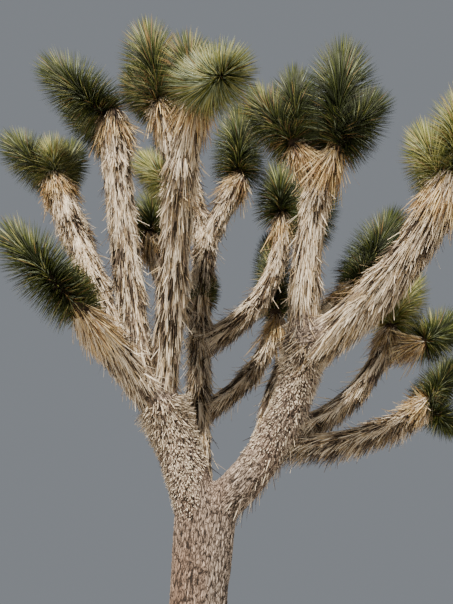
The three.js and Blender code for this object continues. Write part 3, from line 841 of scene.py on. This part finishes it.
# Heads
# Each head is one growing tip: a thousand or two of stiff dagger leaves, each a golden angle round
# from the last, the youngest nearly straight ahead and the oldest drooping back past level.
LEAVES_LEAST = 760  # in a head
LEAVES_PER_METRE = 1800  # more, of leafy stem
FIRST_LEAF = 0.16  # share of the stem under the leaves
TIP_LEAN = 14  # degrees off the stem, from which they ease out to the foot's
FOOT_LEAN = 115
LEAN_EASE = 1.8
LEAN_UNEVEN = 4  # degrees
LEAF_SWAY = 0.035
LEAF_ROOT = 0.012  # from the stem's middle
LEAF_LENGTHS = (0.82, 1.0)
LEAF_WIDTH = 0.0080
LEAF_WIDTHS = (0.8, 1.15)
LEAF_KEEL = 0.45  # thickness against width
LEAF_BELLY = 0.22  # where along its length it is widest
GREENS = {  # the lightest and the darkest leaf of each
    # The nearly black greens are painted shade for the head's depth, and the silvery ones a blue-white
    # painted highlight of the wax.
    "deep_painted_shade": ("#283215", "#151b0b"),
    "mid": ("#434f20", "#2a3313"),
    "fresh": ("#6f7633", "#4c5423"),
    "pale": ("#b3b073", "#80824a"),
    "silvery_painted_highlight": ("#98a488", "#67745a"),
    "tan": ("#95794b", "#664e2f"),
}
SHARES = {  # of the leaves of each tone of head, in the order of GREENS
    # The dark mix is mostly the nearly black greens, painted shade, and the bright mix has the most
    # silvery leaves, painted highlight.
    "dark": (0.62, 0.30, 0.03, 0.01, 0.03, 0.01),
    "green": (0.40, 0.36, 0.11, 0.05, 0.06, 0.02),
    "olive": (0.28, 0.38, 0.14, 0.06, 0.03, 0.11),
    "bright": (0.06, 0.12, 0.20, 0.27, 0.32, 0.03),
    "pale": (0.05, 0.16, 0.28, 0.35, 0.09, 0.07),
}
TAN_FOOT, TAN_MORE = 0.22, 0.5  # leaves tan below this share of the head
FRESH_TOP, FRESH_MORE = 0.7, 0.3  # and are fresh above this one


def daggers(roots, ways, wides, lengths, widths):
    """Closed three-sided spikes, widest a little above the root."""
    wides = unit(wides - ways * (wides * ways).sum(1)[:, None])
    lifts = np.cross(wides, ways)
    belly = roots + ways * (lengths * LEAF_BELLY)[:, None]
    half = wides * (widths / 2)[:, None]
    keel = belly + lifts * (widths * LEAF_KEEL)[:, None]
    tips = roots + ways * lengths[:, None]
    vertices = np.stack([roots, belly - half, belly + half, keel, tips], 1).reshape(-1, 3)
    corners = np.array([[0, 2, 1], [0, 3, 2], [0, 1, 3], [4, 1, 2], [4, 2, 3], [4, 3, 1]])
    faces = (corners[None] + np.arange(len(roots))[:, None, None] * 5).reshape(-1, 3)
    return vertices, faces


def leaves_of(name, length, shares):
    """A head's leaves by the rule that the tree grows them by, with a little unevenness."""
    line = stems[name]
    count = int(LEAVES_LEAST + LEAVES_PER_METRE * line.length)
    number = np.arange(count)
    up = (number + 0.5) / count
    turn = number * GOLDEN_ANGLE
    lean = FOOT_LEAN + (TIP_LEAN - FOOT_LEAN) * up ** LEAN_EASE + rng.normal(0, LEAN_UNEVEN, count)
    lean = np.radians(lean)
    share = FIRST_LEAF + (1 - FIRST_LEAF) * up
    root, outward, along = line.skin(share, turn, np.full(count, LEAF_ROOT))
    way = along * np.cos(lean)[:, None] + outward * np.sin(lean)[:, None]
    way = unit(way + rng.normal(0, LEAF_SWAY, (count, 3)))
    wide = np.cross(along, outward)
    lengths = length * rng.uniform(*LEAF_LENGTHS, count)
    kinds = list(GREENS)
    weights = np.tile(shares, (count, 1))
    weights[:, kinds.index("tan")] += TAN_MORE * np.clip(TAN_FOOT - up, 0, 1)
    weights[:, kinds.index("fresh")] += FRESH_MORE * np.clip(up - FRESH_TOP, 0, 1)
    steps = np.cumsum(weights / weights.sum(1, keepdims=True), axis=1)
    tone = (rng.uniform(0, 1, count)[:, None] > steps).sum(1)
    return dict(root=root, way=way, wide=wide, length=lengths, tone=np.minimum(tone, len(GREENS) - 1))


def green_leaf(tone):
    """Living leaf under a thin coat of wax: a dull sheen that pales the side towards the light, over
    greens from nearly black, painted shade for the head's depth, to yellow and to a silvery blue-white,
    a painted highlight, a little uneven by leaf."""
    made, nodes, out = new_material("green_leaf_" + tone)
    each = add(nodes, "ShaderNodeNewGeometry").outputs["Random Per Island"]
    hue = add(nodes, "ShaderNodeValToRGB", {"Fac": each})
    hue.color_ramp.elements[0].color = colour(GREENS[tone][1])
    hue.color_ramp.elements[1].color = colour(GREENS[tone][0])
    surface = add(nodes, "ShaderNodeBsdfPrincipled",
                  {"Base Color": hue.outputs[0], "Roughness": 0.55, "Specular IOR Level": 0.25})
    nodes.links.new(surface.outputs[0], out.inputs[0])
    return made


head_names = [row[0] for row in HEADS]
leaves = gathered([leaves_of(row[0], row[5], SHARES[row[6]]) for row in HEADS])
for number, tone in enumerate(GREENS):
    some = kept(leaves, leaves["tone"] == number)
    count = len(some["root"])
    vertices, faces = daggers(some["root"], some["way"], some["wide"], some["length"],
                              LEAF_WIDTH * rng.uniform(*LEAF_WIDTHS, count))
    piece = new_piece("leaves_" + tone, vertices, faces, green_leaf(tone))
    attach(piece, "root")
    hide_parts(*head_names)


# Skirts
# The newest dead leaves hang in a skirt under each head, still golden straw: some from the foot of
# its stem, and more laid back down round the end of the limb.
FOOT_LEAVES = 90
LIMB_LEAVES = 150  # under a head that ends its limb
LIMB_END = 0.9  # share of the limb's length past which a head ends it
FOOT_BAND = (-0.12, 0.2)  # of the stem, where the leaves at its foot set out
FOOT_ROOT = 0.03
LIMB_ROOT = 0.9  # of the limb's radius
SKIRT_REACH = 0.14  # how far down the limb they set out
FOOT_SKIRT_LEAN = (145, 176)  # degrees off the stem's way
LIMB_SKIRT_LEAN = (4, 30)  # off the limb
SKIRT_SWAY = 0.08
SKIRT_SAG = 0.15
SKIRT_WIDTH = 0.0074
SKIRT_WIDTHS = (0.8, 1.2)
SKIRT_LENGTH = (0.55, 1.0)  # of a green leaf
LONG_SKIRTS = {
    "crossing_head": 1.7,
    "middle_head": 1.2,
    "stub_head": 1.3,
    "outer_right_side_head": 1.3,
}
GOLDEN = ("#efdcae", "#c5a36c")
RUST = ("#a98a60", "#6f5336")
RUST_SHARE = 0.35

skirts = []
for name, limb, at, stem, way, leaf, tone in HEADS:
    line, carrier = stems[name], lines[limb]
    laid = LIMB_LEAVES if at > LIMB_END else 0
    low = rng.uniform(*FOOT_BAND, FOOT_LEAVES)
    number = np.arange(FOOT_LEAVES)
    foot, foot_out, foot_along = line.skin(low, number * GOLDEN_ANGLE, np.full(FOOT_LEAVES, FOOT_ROOT))
    foot_lean = np.radians(rng.uniform(*FOOT_SKIRT_LEAN, FOOT_LEAVES))
    foot_way = foot_along * np.cos(foot_lean)[:, None] + foot_out * np.sin(foot_lean)[:, None]
    down = at - rng.uniform(0, SKIRT_REACH, laid) / carrier.length
    number = np.arange(laid)
    root, outward, along = carrier.skin(down, number * GOLDEN_ANGLE, carrier.radius(down) * LIMB_ROOT)
    lean = np.radians(rng.uniform(*LIMB_SKIRT_LEAN, laid))
    limb_way = -along * np.cos(lean)[:, None] + outward * np.sin(lean)[:, None]
    away = np.vstack([foot_way, limb_way]) + rng.normal(0, SKIRT_SWAY, (FOOT_LEAVES + laid, 3))
    away[:, 2] -= SKIRT_SAG
    lengths = leaf * rng.uniform(*SKIRT_LENGTH, len(away)) * LONG_SKIRTS.get(name, 1)
    wide = np.vstack([np.cross(foot_along, foot_out), np.cross(along, outward)])
    skirts.append(dict(root=np.vstack([foot, root]), way=unit(away), wide=wide, length=lengths))
skirts = gathered(skirts)
aged = rng.uniform(0, 1, len(skirts["root"])) < RUST_SHARE
for tone, shades, chosen in (("golden", GOLDEN, ~aged), ("rust", RUST, aged)):
    some = kept(skirts, chosen)
    count = len(some["root"])
    vertices, faces = blades(some["root"], some["way"], some["wide"], some["length"],
                             SKIRT_WIDTH * rng.uniform(*SKIRT_WIDTHS, count))
    piece = new_piece("skirt_" + tone, vertices, faces, dry_leaf(tone, *shades))
    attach(piece, "root")
    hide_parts(*head_names)
